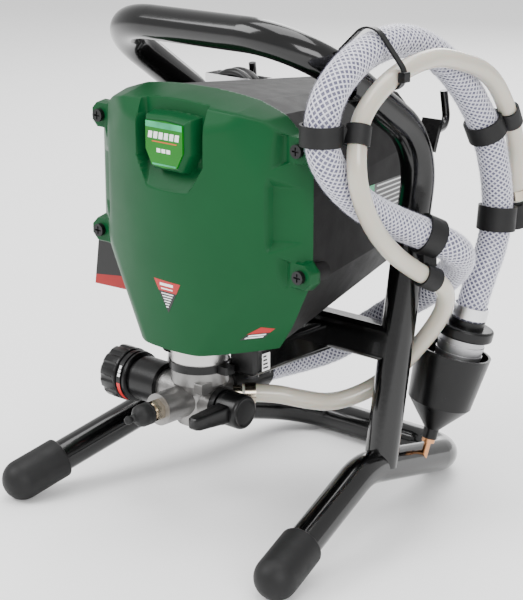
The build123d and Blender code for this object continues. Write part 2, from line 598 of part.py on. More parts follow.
def make_cup():
    up = CUP_UP
    top = CUP_TOP
    frame = Plane(origin=top, z_dir=up, x_dir=(1, 0, -up.X / up.Z))
    wall = [(0, -72), (6, -72), (6, -64), (24.5, -42), (29, 0), (27, 0), (22.7, -41), (5, -60), (0, -60)]
    profile = make_face(Polyline(*[Vector(x, 0, z) for x, z in wall], close=True))
    cup = revolve(profile, axis=Axis.Z, revolution_arc=360)
    keep("drip_cup", frame.location * cup)
    bottom = top - up * 72
    keep("cup_stud", rod(bottom - up * 21, bottom, 2.6) + rod(bottom - up * 3.5, bottom, 5))
    PARTS["base_tube"] -= rod(bottom - up * 22, bottom, 2.6)

    axis_point = STRAINER_POINT
    screen = rod(axis_point - up * 28, axis_point + up * 11, 17.4, bore=16)
    screen += rod(axis_point - up * 29.5, axis_point - up * 28, 17.4)
    for index in range(5):
        at = axis_point - up * (24 - index * 7)
        screen += rod(at, at + up * 2, 18, bore=16)
    keep("strainer_screen", screen)
    cap = rod(axis_point + up * 11, axis_point + up * 20, 22) - rod(axis_point, axis_point + up * 21, 7)
    edges = cap.edges().filter_by(GeomType.CIRCLE).group_by(SortBy.RADIUS)[-1]
    cap = fillet(edges, 2)
    cap += rod(axis_point + up * 20, axis_point + up * 25, 13.5, bore=7)
    cap += rod(axis_point + up * 25, axis_point + up * 36, 9.4, bore=7)
    keep("strainer_cap", cap)
    clamp = rod(axis_point + up * 26.5, axis_point + up * 35.5, 13.7, bore=HOSE_R + 0.2)
    side = Vector(-0.75, -0.66, 0.0)
    side = (side - up * side.dot(up)).normalized()
    across = up.cross(side)
    screw_at = axis_point + up * 31 + side * 17
    clamp += rod(screw_at - across * 7, screw_at + across * 7, 3.6)
    keep("strainer_clamp", clamp - rod(axis_point + up * 20, axis_point + up * 45, HOSE_R + 0.2))


# ---------------------------------------------------------------- mains lead
CORD_ROUTE = [
    (-109, -14, 186), (-118, -14, 183), (-126.5, -20, 170), (-129, -29, 152), (-128, -30, 132),
    (-126.5, -16, 117), (-126, 6, 112), (-126, 28, 117), (-125.5, 43, 129), (-125, 53, 146),
    (-124.5, 57.5, 164.5), (-124.5, 58.4, 178),
]
HANK_X = -99
HANK_TOP = 316
HANK_BOTTOM = 158
HANK_HALF_WIDTH = 29
HANK_EYE = 6.5
HANK_Y = (54.5, 71.3)
TIE_Z = (298, 307)
PLUG_X = -73.5
PLUG_Y = 66
PLUG_TOP = 171


def make_cord():
    gland = rod((-84, -14, 190), (-97, -14, 190), 5.9, bore=0)
    gland = gland + cone((-97, -14, 190), (-109, -14, 186), 5.9, 4.6)
    keep("cord_gland", gland)
    keep("power_cord", swept(hose_path("power_cord", CORD_ROUTE), CORD_R))

    slot = HANK_TOP - HANK_BOTTOM
    outer = SlotOverall(slot, 2 * HANK_HALF_WIDTH, rotation=90)
    eye_height = slot - 2 * (HANK_HALF_WIDTH - HANK_EYE)
    eye = SlotOverall(eye_height, 2 * HANK_EYE, rotation=90)
    middle = (HANK_TOP + HANK_BOTTOM) / 2
    place = Plane(origin=(HANK_X, HANK_Y[1], middle), x_dir=(1, 0, 0), z_dir=(0, -1, 0))
    hank = place * extrude(outer - eye, amount=HANK_Y[1] - HANK_Y[0])
    hank = fillet(hank.edges().filter_by(GeomType.CIRCLE).group_by(SortBy.RADIUS)[-1], 6)
    keep("cord_hank", hank)
    band = block((HANK_X - 28.9, HANK_X + 28.9), (HANK_Y[0] - 0.9, HANK_Y[1] + 0.9), TIE_Z, 2, Axis.Z)
    band -= block((HANK_X - 28, HANK_X + 28), (HANK_Y[0] - 0.1, HANK_Y[1] + 0.1), (290, 310), 1, Axis.Z)
    keep("cord_tie", band)
    plug = cone((PLUG_X, PLUG_Y, PLUG_TOP), (PLUG_X, PLUG_Y, PLUG_TOP - 16), 4.5, 8)
    plug += rod((PLUG_X, PLUG_Y, PLUG_TOP - 16), (PLUG_X, PLUG_Y, PLUG_TOP - 42), 17)
    for x in (PLUG_X - PLUG_PIN_GAP / 2, PLUG_X + PLUG_PIN_GAP / 2):
        plug += rod((x, PLUG_Y, PLUG_TOP - 61), (x, PLUG_Y, PLUG_TOP - 42), 2.4)
    keep("mains_plug", plug)
    tag = Pos(-130, -46, 168) * Rot(0, 8, 24) * Box(34, 0.8, 42)
    string = rod((-128.5, -45.5, 180), (-127, -22, 172), 0.8)
    keep("hang_tag", tag + string)


make_hooks(make_frame())
make_housing()
make_drive()
make_pump()
make_hoses()
make_cup()
make_cord()

# Everything is drawn about the plane through the middle of the stand's uprights, then
# moved so that the origin is under the middle of the machine without its loose lines.
LOOSE = ["suction_hose", "drain_hose", "hose_clips", "drain_hose_clamps", "drain_nozzle", "zip_tie",
         "power_cord", "cord_hank", "cord_tie", "mains_plug", "hang_tag"]
BOXES = [shape.bounding_box() for name, shape in PARTS.items() if name not in LOOSE]
MIDDLE_X = (min(box.min.X for box in BOXES) + max(box.max.X for box in BOXES)) / 2
MIDDLE_Y = (min(box.min.Y for box in BOXES) + max(box.max.Y for box in BOXES)) / 2
FLOOR = min(box.min.Z for box in BOXES)
TO_ORIGIN = Pos(-MIDDLE_X, -MIDDLE_Y, -FLOOR)

os.makedirs("parts", exist_ok=True)
for part_name, shape in PARTS.items():
    placed = TO_ORIGIN * shape
    placed.label = part_name
    export_step(placed, f"parts/{part_name}.step")
for route_name, path, radii in PRINT_ROUTES:
    print(route_name, "length", round(path.length, 1), "radii", [round(r, 1) for r in radii])
print(len(PARTS), "nodes; drawing origin moved by", MIDDLE_X, MIDDLE_Y, FLOOR)
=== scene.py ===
import json
import math

import bmesh
import bpy
from mathutils import Matrix, Vector
from mathutils.geometry import delaunay_2d_cdt


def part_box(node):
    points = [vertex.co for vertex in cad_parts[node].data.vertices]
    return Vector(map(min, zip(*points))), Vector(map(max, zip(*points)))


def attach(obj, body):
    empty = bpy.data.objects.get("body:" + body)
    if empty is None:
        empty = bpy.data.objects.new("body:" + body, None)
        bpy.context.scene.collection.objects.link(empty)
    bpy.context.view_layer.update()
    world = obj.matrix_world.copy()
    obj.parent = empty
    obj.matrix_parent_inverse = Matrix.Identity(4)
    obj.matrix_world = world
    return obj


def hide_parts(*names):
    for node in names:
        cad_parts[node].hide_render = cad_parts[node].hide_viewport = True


# Airless paint sprayer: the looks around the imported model.  Lengths below are in the
# millimetres of the part's own drawing; at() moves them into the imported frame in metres.

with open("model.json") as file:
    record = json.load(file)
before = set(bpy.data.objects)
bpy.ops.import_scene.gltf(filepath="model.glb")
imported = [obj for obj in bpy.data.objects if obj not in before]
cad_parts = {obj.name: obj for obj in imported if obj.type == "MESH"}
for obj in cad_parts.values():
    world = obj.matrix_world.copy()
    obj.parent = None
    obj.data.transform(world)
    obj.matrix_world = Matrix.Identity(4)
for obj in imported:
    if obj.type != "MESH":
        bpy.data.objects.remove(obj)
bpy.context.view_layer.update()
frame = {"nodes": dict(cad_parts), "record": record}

MM = 0.001
PUMP_Y = -88
pump_low, pump_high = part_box("pump_cylinder")
ORIGIN_Y = (pump_low[1] + pump_high[1]) / 2 / MM - PUMP_Y


def at(x, y, z):
    return Vector((x, y + ORIGIN_Y, z)) * MM


# ---------------------------------------------------------------- camera, light, floor
CAMERA_AZIMUTH = math.radians(41.82)
CAMERA_ELEVATION = math.radians(16.72)
CAMERA_DISTANCE = 1365.04
CAMERA_TARGET = (0, 0, 200)
CAMERA_SLIDE = (13.35, 45.36)      # target's place right of and above the picture's centre
SENSOR = 36.0
FOCAL_IN_PIXELS = 1799.62
PICTURE_HEIGHT = 600
FLOOR_HALF = 6.0
FLOOR_Z = -0.0002


def add_camera():
    ca, sa = math.cos(CAMERA_AZIMUTH), math.sin(CAMERA_AZIMUTH)
    ce, se = math.cos(CAMERA_ELEVATION), math.sin(CAMERA_ELEVATION)
    right = Vector((ca, sa, 0))
    back = Vector((sa * ce, -ca * ce, se))
    up = back.cross(right)
    slide_right, slide_up = CAMERA_SLIDE
    offset = back * CAMERA_DISTANCE - right * slide_right - up * slide_up
    place = at(*CAMERA_TARGET) + offset * MM
    data = bpy.data.cameras.new("camera")
    data.sensor_fit = "VERTICAL"
    data.sensor_height = SENSOR
    data.lens = FOCAL_IN_PIXELS / PICTURE_HEIGHT * SENSOR
    data.clip_start = 0.05
    data.clip_end = 20
    camera = bpy.data.objects.new("camera", data)
    bpy.context.collection.objects.link(camera)
    camera.matrix_world = Matrix((
        (right.x, up.x, back.x, place.x), (right.y, up.y, back.y, place.y),
        (right.z, up.z, back.z, place.z), (0, 0, 0, 1)))
    bpy.context.scene.camera = camera


def add_area_light(name, place, target, size, power, shape_y=None):
    data = bpy.data.lights.new(name, "AREA")
    data.energy = power
    data.size = size
    if shape_y:
        data.shape = "RECTANGLE"
        data.size_y = shape_y
    light = bpy.data.objects.new(name, data)
    bpy.context.collection.objects.link(light)
    light.location = place
    light.rotation_euler = (Vector(target) - Vector(place)).to_track_quat("-Z", "Y").to_euler()


def add_studio():
    middle = (0, 0, 0.2)
    add_area_light("key", (-1.1, -1.6, 1.9), middle, 1.3, 48)
    add_area_light("fill", (1.9, -1.1, 1.1), middle, 1.4, 34, 0.9)
    add_area_light("top", (0.1, 0.2, 2.2), middle, 1.6, 44)
    add_area_light("rim", (-0.9, 1.7, 1.3), middle, 0.9, 22, 1.6)
    world = bpy.data.worlds.new("studio")
    bpy.context.scene.world = world
    world.use_nodes = True
    background = world.node_tree.nodes["Background"]
    background.inputs["Color"].default_value = (1.0, 1.0, 1.0, 1)
    background.inputs["Strength"].default_value = 1.0

    mesh = bpy.data.meshes.new("floor")
    half = FLOOR_HALF
    corners = [(-half, -half, 0), (half, -half, 0), (half, half, 0), (-half, half, 0)]
    mesh.from_pydata(corners, [], [(0, 1, 2, 3)])
    floor = bpy.data.objects.new("floor", mesh)
    floor.location.z = FLOOR_Z
    bpy.context.collection.objects.link(floor)
    material, shader, _ = new_material("floor_paint", (0.96, 0.96, 0.96), 0.95)
    shader.inputs["Specular IOR Level"].default_value = 0.1
    mesh.materials.append(material)


# ---------------------------------------------------------------- materials
def new_material(name, color, roughness, metallic=0.0, **inputs):
    """Principled material; colour and finish that are the same all over sit on its sockets."""
    material = bpy.data.materials.new(name)
    material.use_nodes = True
    tree = material.node_tree
    shader = tree.nodes["Principled BSDF"]
    shader.inputs["Base Color"].default_value = (*color, 1)
    shader.inputs["Roughness"].default_value = roughness
    shader.inputs["Metallic"].default_value = metallic
    for key, value in inputs.items():
        shader.inputs[key.replace("_", " ")].default_value = value
    return material, shader, tree


def coordinates(tree, scale=1.0, stretch=(1, 1, 1)):
    source = tree.nodes.new("ShaderNodeTexCoord")
    mapping = tree.nodes.new("ShaderNodeMapping")
    mapping.inputs["Scale"].default_value = [scale * s for s in stretch]
    tree.links.new(source.outputs["Object"], mapping.inputs["Vector"])
    return mapping.outputs["Vector"]


def noise(tree, scale, detail=3.0, stretch=(1, 1, 1), roughness=0.5):
    node = tree.nodes.new("ShaderNodeTexNoise")
    node.inputs["Scale"].default_value = scale
    node.inputs["Detail"].default_value = detail
    node.inputs["Roughness"].default_value = roughness
    tree.links.new(coordinates(tree, 1.0, stretch), node.inputs["Vector"])
    return node.outputs["Fac"]


def ramp(tree, source, stops):
    """Colour ramp from (position, colour) pairs."""
    node = tree.nodes.new("ShaderNodeValToRGB")
    elements = node.color_ramp.elements
    elements[0].position, elements[0].color = stops[0][0], (*stops[0][1], 1)
    elements[1].position, elements[1].color = stops[-1][0], (*stops[-1][1], 1)
    for place, color in stops[1:-1]:
        element = elements.new(place)
        element.color = (*color, 1)
    tree.links.new(source, node.inputs["Fac"])
    return node.outputs["Color"]


def span(tree, source, low, high):
    node = tree.nodes.new("ShaderNodeMapRange")
    node.inputs["To Min"].default_value = low
    node.inputs["To Max"].default_value = high
    tree.links.new(source, node.inputs["Value"])
    return node.outputs["Result"]


def bump(tree, shader, height, distance, strength=1.0):
    node = tree.nodes.new("ShaderNodeBump")
    node.inputs["Distance"].default_value = distance
    node.inputs["Strength"].default_value = strength
    tree.links.new(height, node.inputs["Height"])
    tree.links.new(node.outputs["Normal"], shader.inputs["Normal"])


def varied(name, color, roughness, spread=0.15, scale=40.0, grain=None, metallic=0.0, **inputs):
    """Material whose colour and roughness drift a little, with an optional surface grain."""
    material, shader, tree = new_material(name, color, roughness, metallic, **inputs)
    drift = noise(tree, scale)
    dark = [c * (1 - spread) for c in color]
    light = [min(1, c * (1 + spread)) for c in color]
    tree.links.new(ramp(tree, drift, [(0.3, dark), (0.7, light)]), shader.inputs["Base Color"])
    tree.links.new(span(tree, noise(tree, scale * 2.3), max(0.02, roughness * 0.8), roughness * 1.2),
                   shader.inputs["Roughness"])
    if grain:
        grain_scale, depth = grain
        bump(tree, shader, noise(tree, grain_scale, 2.0), depth)
    return material


def machined(name, color, roughness, stretch, scale=900.0):
    """Turned or brushed metal: fine lines along one direction."""
    material, shader, tree = new_material(name, color, roughness, 1.0)
    lines = noise(tree, scale, 2.0, stretch)
    tree.links.new(span(tree, lines, roughness * 0.7, roughness * 1.4), shader.inputs["Roughness"])
    bump(tree, shader, lines, 0.00003)
    return material


def make_materials():
    """One finish for each material slot in the record."""
    m = {}
    m["frame_enamel"] = varied("black_enamel", (0.001, 0.001, 0.0011), 0.16, 0.2, 25, (260, 0.00004),
                               Specular_IOR_Level=0.35, Coat_Weight=0.25, Coat_Roughness=0.05)
    m["rubber_black"] = varied("moulded_rubber", (0.005, 0.005, 0.0053), 0.55, 0.2, 60, (1500, 0.00005),
                              Specular_IOR_Level=0.3)
    m["cover_green"] = varied("green_plastic", (0.0012, 0.056, 0.0155), 0.42, 0.06, 18, (1400, 0.00004),
                              Specular_IOR_Level=0.16)
    m["badge_green"] = varied("badge_foil", (0.001, 0.13, 0.002), 0.25, 0.2, 30, Specular_IOR_Level=0.3)
    m["shroud_grey"] = varied("textured_plastic", (0.010, 0.0094, 0.0096), 0.6, 0.12, 30, (1300, 0.00009),
                              Specular_IOR_Level=0.16)
    m["black_plastic"] = varied("black_plastic", (0.0022, 0.0022, 0.0024), 0.30, 0.2, 50, (1800, 0.00003),
                               Specular_IOR_Level=0.3)
    m["cast_alloy"] = varied("cast_aluminium", (0.23, 0.225, 0.22), 0.36, 0.1, 90, (750, 0.00012),
                             metallic=0.85)
    m["steel"] = machined("turned_steel", (0.55, 0.54, 0.53), 0.32, (1, 1, 14))
    m["zinc_screw"] = varied("black_screw", (0.010, 0.010, 0.011), 0.3, 0.2, 400, metallic=0.5)
    m["nickel_fitting"] = machined("nickel_plate", (0.50, 0.44, 0.35), 0.16, (1, 6, 1))
    m["copper_wire"] = machined("copper", (0.62, 0.30, 0.14), 0.3, (1, 1, 8))
    m["drain_tube"] = varied("milky_tube", (0.46, 0.43, 0.36), 0.24, 0.05, 25, (120, 0.00005),
                             Subsurface_Weight=0.35, Subsurface_Scale=0.004,
                             Coat_Weight=0.5, Coat_Roughness=0.12)
    m["clear_hose"] = varied("clear_pvc", (0.75, 0.74, 0.85), 0.15, 0.05, 60)
    m["cord_rubber"] = varied("cord_sheath", (0.003, 0.003, 0.0033), 0.35, 0.2, 60, (900, 0.00003),
                              Specular_IOR_Level=0.35)
    m["silver_band"] = machined("silver_band", (0.74, 0.74, 0.75), 0.3, (1, 1, 6))
    m["mesh_steel"] = machined("screen_wire", (0.45, 0.45, 0.46), 0.4, (1, 1, 1))
    m["board_green"] = varied("circuit_board", (0.02, 0.16, 0.07), 0.35, 0.3, 120)
    m["red_plastic"] = varied("red_plastic", (0.30, 0.002, 0.002), 0.3, 0.1, 50)
    m["carbon"] = varied("carbon", (0.02, 0.02, 0.02), 0.6, 0.2, 300)
    return m


def dress_nodes(materials):
    slots = {row["node"]: row["material_slot"] for row in frame["record"]["subparts"]}
    for name, obj in frame["nodes"].items():
        for slot in obj.material_slots:
            slot.material = materials[slots[name]]


# ---------------------------------------------------------------- mesh helpers
class Shape:
    """Vertices and faces that grow, with one material number for each face."""

    def __init__(self):
        self.points = []
        self.faces = []
        self.kinds = []

    def add(self, points, faces, kind=0):
        base = len(self.points)
        self.points += [Vector(p) for p in points]
        self.faces += [[base + i for i in face] for face in faces]
        self.kinds += [kind] * len(faces)

    def rings(self, rings, kind=0, cap=True, closed=False):
        """Skin over a list of equal rings of points."""
        size = len(rings[0])
        points = [p for ring in rings for p in ring]
        faces = []
        last = len(rings) if closed else len(rings) - 1
        for row in range(last):
            after = (row + 1) % len(rings)
            for column in range(size):
                side = (column + 1) % size
                faces.append((row * size + column, row * size + side,
                              after * size + side, after * size + column))
        if cap and not closed:
            faces.append(tuple(reversed(range(size))))
            faces.append(tuple((len(rings) - 1) * size + i for i in range(size)))
        self.add(points, faces, kind)

    def build(self, name, materials, smooth_angle=35, body="root", replaces=(), weld=True):
        mesh = bpy.data.meshes.new(name)
        mesh.from_pydata(self.points, [], self.faces)
        for material in materials:
            mesh.materials.append(material)
        mesh.polygons.foreach_set("material_index", self.kinds)
        tidy = bmesh.new()
        tidy.from_mesh(mesh)
        if weld:
            bmesh.ops.remove_doubles(tidy, verts=tidy.verts, dist=1e-6)
        bmesh.ops.recalc_face_normals(tidy, faces=tidy.faces)
        tidy.to_mesh(mesh)
        tidy.free()
        piece = bpy.data.objects.new(name, mesh)
        bpy.context.collection.objects.link(piece)
        mesh.shade_smooth()
        mesh.set_sharp_from_angle(angle=math.radians(smooth_angle))
        return settle(piece, body, replaces)


def settle(piece, body="root", replaces=()):
    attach(piece, body)
    if replaces:
        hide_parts(*replaces)
    return piece


def circle(centre, across, along, radius, count, start=0.0):
    """Ring of points round a centre, in the plane of two unit vectors."""
    return [centre + (across * math.cos(start + 2 * math.pi * i / count)
                      + along * math.sin(start + 2 * math.pi * i / count)) * radius for i in range(count)]


def moving_frames(path):
    """Direction and two side vectors at each point of a path, without twist."""
    frames = []
    side = None
    for index in range(len(path)):
        before = path[max(0, index - 1)]
        after = path[min(len(path) - 1, index + 1)]
        way = (after - before).normalized()
        if side is None:
            helper = Vector((0, 0, 1)) if abs(way.z) < 0.9 else Vector((1, 0, 0))
            side = way.cross(helper).normalized()
        side = (side - way * side.dot(way)).normalized()
        frames.append((way, side, way.cross(side)))
    return frames


def lathe(shape, start, way, profile, sides=48, kind=0, cap=True):
    """Turned solid: profile is a list of (distance along way, radius) in millimetres."""
    way = Vector(way).normalized()
    helper = Vector((0, 0, 1)) if abs(way.z) < 0.9 else Vector((1, 0, 0))
    across = way.cross(helper).normalized()
    along = way.cross(across)
    rings = [circle(start + way * distance * MM, across, along, max(radius, 0.01) * MM, sides)
             for distance, radius in profile]
    shape.rings(rings, kind, cap)


# ---------------------------------------------------------------- cords and hoses
# The routes are the ones the CAD hoses and lead follow.
SUCTION_ROUTE = [
    (0, -36, 103), (0, -12, 103), (8, 13, 104), (27, 33, 112), (51, 46, 131), (80, 52, 154),
    (107, 52, 172), (131, 46, 192), (147, 31, 208), (150, 12, 220.5), (140, -7, 231),
    (131.5, -32, 243), (127.5, -59, 258), (126, -86, 280), (126, -103, 304), (126, -101, 330),
    (125, -84, 349), (122, -52, 363), (120, -12, 366.5), (121, 24, 355), (124, 56, 330),
    (128, 82, 294), (130, 94, 261), (130.5, 99.5, 228), (130.3, 94, 200), (128, 80.3, 173.5),
    (123.5, 75.4, 146.3),
]
DRAIN_ROUTE = [
    (21.95, -66.05, 100), (37, -51, 100), (51, -34, 94), (62, -12, 87), (75, 10, 92),
    (90, 26, 106), (106, 30, 126), (122, 30, 146), (137, 25, 166), (148, 13, 184),
    (151, -1, 196.5), (146, -19, 206), (142, -44, 224), (143.5, -70, 249), (147.5, -90, 279),
    (144, -88, 304), (139, -77, 326), (141.5, -47, 348), (143, -8, 355.5), (143.5, 18, 351.5),
    (142.3, 64, 337), (138.5, 94, 307), (135, 113.5, 276), (131, 117, 256), (131, 120.5, 231),
]
CORD_ROUTE = [
    (-109, -14, 186), (-118, -14, 183), (-126.5, -20, 170), (-129, -29, 152), (-128, -30, 132),
    (-126.5, -16, 117), (-126, 6, 112), (-126, 28, 117), (-125.5, 43, 129), (-125, 53, 146),
    (-124.5, 57.5, 164.5),
]
HOSE_R = 12.5
CORE_R = 10.7
THREAD_R = 11.1                    # inner side of the braid's threads
THREAD_LAY_R = 11.3
THREAD_PITCH = 62.0                # length of one turn of a thread
THREADS_EACH_WAY = 15
THREAD_HALF_WIDTH = 0.55
THREAD_THICKNESS = 0.45
WEAVE = 0.22                       # how far threads rise and sink where they cross
DRAIN_R = 6.75
CORD_R = 3.5
HANK_X = -99
HANK_ARC_Z = (187, 285)            # centres of the hank's lower and upper arcs
HANK_LAYERS_Y = (58.4, 66)
HANK_WIDTHS = (25.5, 18, 10.5)     # half-width of each turn, outside in
ARC_STEPS = 6


def spline(name, points, resolution=8):
    """Open NURBS curve object through a cord's control points."""
    data = bpy.data.curves.new(name, "CURVE")
    data.dimensions = "3D"
    data.resolution_u = resolution
    line = data.splines.new("NURBS")
    line.points.add(len(points) - 1)
    for point, place in zip(line.points, points):
        point.co = (*place, 1)
    line.order_u = 3
    line.use_endpoint_u = True
    curve = bpy.data.objects.new(name, data)
    bpy.context.collection.objects.link(curve)
    return curve


def spline_points(name, points, resolution):
    """Points along the NURBS spline of a route."""
    curve = spline(name + "_line", points, resolution)
    mesh = bpy.data.meshes.new_from_object(curve)
    path = [v.co.copy() for v in mesh.vertices]
    bpy.data.meshes.remove(mesh)
    bpy.data.objects.remove(curve)
    return path


def make_suction_hose(materials):
    """Clear hose: lavender core darkened as painted shade of the hollow bore, two sets of white threads wound
    opposite ways, clear skin.
    """
    path = spline_points("suction_hose", [at(*p) for p in SUCTION_ROUTE], 10)
    frames = moving_frames(path)
    # Opaque core inside the skin: the clear PVC's lavender tint, darkened as painted shade of the hose's
    # hollow bore.
    core = varied("hose_core_painted_bore_shade", (0.07, 0.068, 0.12), 0.3, 0.12, 60)
    thread = varied("hose_thread", (0.62, 0.62, 0.68), 0.4, 0.05, 300)
    skin, shader, tree = new_material("hose_skin", (0.72, 0.70, 0.90), 0.12, IOR=1.45, Alpha=0.08)
    bump(tree, shader, noise(tree, 90, 2.0), 0.00008)
    shape = Shape()
    shape.rings([circle(p, f[1], f[2], HOSE_R * MM, 40) for p, f in zip(path, frames)], 0, cap=True)
    shape.rings([circle(p, f[1], f[2], CORE_R * MM, 32) for p, f in zip(path, frames)], 1, cap=True)
    pitch = THREAD_PITCH * MM
    half_width = THREAD_HALF_WIDTH * MM
    thickness = THREAD_THICKNESS * MM
    distances = [0.0]
    for a, b in zip(path, path[1:]):
        distances.append(distances[-1] + (b - a).length)
    for turn_way in (1, -1):
        for index in range(THREADS_EACH_WAY):
            rings = []
            for place, (way, side, over), distance in zip(path, frames, distances):
                turned = 2 * math.pi * distance / pitch
                angle = turn_way * turned + 2 * math.pi * index / THREADS_EACH_WAY
                out = side * math.cos(angle) + over * math.sin(angle)
                round_way = -side * math.sin(angle) + over * math.cos(angle)
                lay = (way + round_way * turn_way * 2 * math.pi * THREAD_LAY_R * MM / pitch).normalized()
                flat = out.cross(lay)
                weave = WEAVE * turn_way * math.cos(THREADS_EACH_WAY * turned + math.pi * index)
                low = place + out * (THREAD_R + weave) * MM
                rings.append([low - flat * half_width, low + flat * half_width,
                              low + flat * half_width * 0.6 + out * thickness,
                              low - flat * half_width * 0.6 + out * thickness])
            shape.rings(rings, 2)
    piece = shape.build("suction_hose_braided", [skin, core, thread], 60,
                        replaces=["suction_hose"], weld=False)


def make_drain_hose(materials):
    curve = spline("drain_tube", [at(*p) for p in DRAIN_ROUTE])
    curve.data.bevel_depth = DRAIN_R * MM
    curve.data.bevel_resolution = 8
    curve.data.use_fill_caps = True
    curve.data.materials.append(materials["drain_tube"])
    settle(curve, "root", ["drain_hose"])
    path = spline_points("drain", [at(*p) for p in DRAIN_ROUTE], 10)


def hank_points():
    """Turns of the lead round the hook: in along the front layer, out along the rear one."""
    low, high = HANK_ARC_Z
    front, rear = HANK_LAYERS_Y
    turns = [(width, front) for width in HANK_WIDTHS] + [(width, rear) for width in reversed(HANK_WIDTHS)]
    points = []
    for number, (width, y) in enumerate(turns):
        points.append(at(HANK_X - width, y, low + (high - low) * 0.2))
        points.append(at(HANK_X - width, y, low + (high - low) * 0.6))
        for step in range(ARC_STEPS + 1):
            angle = math.pi * (1 - step / ARC_STEPS)
            points.append(at(HANK_X + width * math.cos(angle), y, high + width * math.sin(angle)))
        points.append(at(HANK_X + width, y, low + (high - low) * 0.6))
        points.append(at(HANK_X + width, y, low + (high - low) * 0.2))
        if number == len(turns) - 1:
            break
        next_width, next_y = turns[number + 1]
        for step in range(ARC_STEPS + 1):
            share = step / ARC_STEPS
            angle = -math.pi * share
            radius = width + (next_width - width) * share
            points.append(at(HANK_X + radius * math.cos(angle), y + (next_y - y) * share,
                             low + radius * math.sin(angle)))
    last_width = turns[-1][0]
    points.append(at(HANK_X + last_width, rear, low - 6))
    points.append(at(HANK_X + last_width, rear, low - 16))
    return points


def make_power_cord(materials):
    points = [at(*p) for p in CORD_ROUTE] + hank_points()
    curve = spline("mains_lead", points)
    curve.data.bevel_depth = CORD_R * MM
    curve.data.bevel_resolution = 5
    curve.data.use_fill_caps = True
    curve.data.materials.append(materials["cord_rubber"])
    settle(curve, "root", ["power_cord", "cord_hank"])
    path = spline_points("lead", points, 8)


# ---------------------------------------------------------------- front cover
SEAM_Y = -82
COVER_BOTTOM = (142, 150)          # height at the front and at the seam
COVER_FRONT_Y = -120
SLEEVE_GAP_R = 22.3
NOTCH_STEPS = 36
LUGS = ((97, 297), (99, 209))
LUG_FACE = 91
BADGE = [(-18, 308), (0, 309), (18, 308), (18, 288), (12, 277), (-12, 277), (-18, 288)]
BADGE_SEAT = 120.5
RECESS = [(-31.5, 340), (31.5, 340), (30.8, 281), (19.5, 260), (-20.5, 260), (-31.2, 281)]
CROWN_DEPTH = 120
CROWN_WIDTH = 348                  # the crown falls by side squared over this
BROW_DEPTH = 120.6
BROW_WIDTH = 540
BROW_Z = 302
SHOULDER_X = 55                    # the top edge falls faster beyond this
# Flat faces of the moulding: depth at zero, change per side, change per height, blend.
CORNER_FACE = (184.3, -0.5364, -0.1402, 2.2)
LOWER_FACE = (85.15, -0.815, 0.3922, 4)
FOOT_FACE = (27.6, -1.19, 0.941, 5)
FLANK_DEPTH = 104
FLANK_X = 76
FLANK_SLOPE = 0.815
TOP_Z = 329
TOP_SLOPE = 4.05
TOP_CORNER = (298.6, 0.618, 0.786)
TOP_CORNER_SLOPE = 3.4
POCKET_X = 78
POCKET_DEPTH = 95.5
POCKET_Z = (232, 270)
POCKET_SLOPES = (0.46, 5, 0.8)     # outwards, at the inner wall, at the two ends
LUG_HALF = 9
LUG_SCOOP = 12
LUG_SCOOP_SLOPE = 1.9
LUG_WALL_SLOPE = 6
LUG_CHAMFER = 13
RECESS_FLOOR = 107.5
RECESS_RAMP_Z = 276
RECESS_RAMP = 0.72
RECESS_WALL_SLOPE = 7
ISLAND_BEVEL = (1.1, 0.8)          # slope, and where outside the badge it starts
ISLAND_WALL = (5, 3.5)
COVER_STEP = 0.9
COVER_FINE_STEP = 0.42             # on the steep face along the top
COVER_COLUMNS = 245
COVER_ROWS = 192
COVER_LEFT = -109.8
COVER_LOW = 139.5
COVER_HIGH = 331
COVER_WALL = 2.4


def soft_min(a, b, blend):
    overlap = max(blend - abs(a - b), 0) / blend
    return min(a, b) - overlap * overlap * blend / 4


def soft_max(a, b, blend):
    return -soft_min(-a, -b, blend)


def outside(corners, x, z):
    """Distance outside a convex outline whose corners run clockwise, negative within."""
    distance = -1000.0
    for (x0, z0), (x1, z1) in zip(corners, corners[1:] + corners[:1]):
        length = math.hypot(x1 - x0, z1 - z0)
        distance = max(distance, ((z1 - z0) * (x0 - x) - (x1 - x0) * (z0 - z)) / length)
    return distance


def box_outside(x, z, low_x, high_x, low_z, high_z):
    return max(low_x - x, x - high_x, low_z - z, z - high_z)


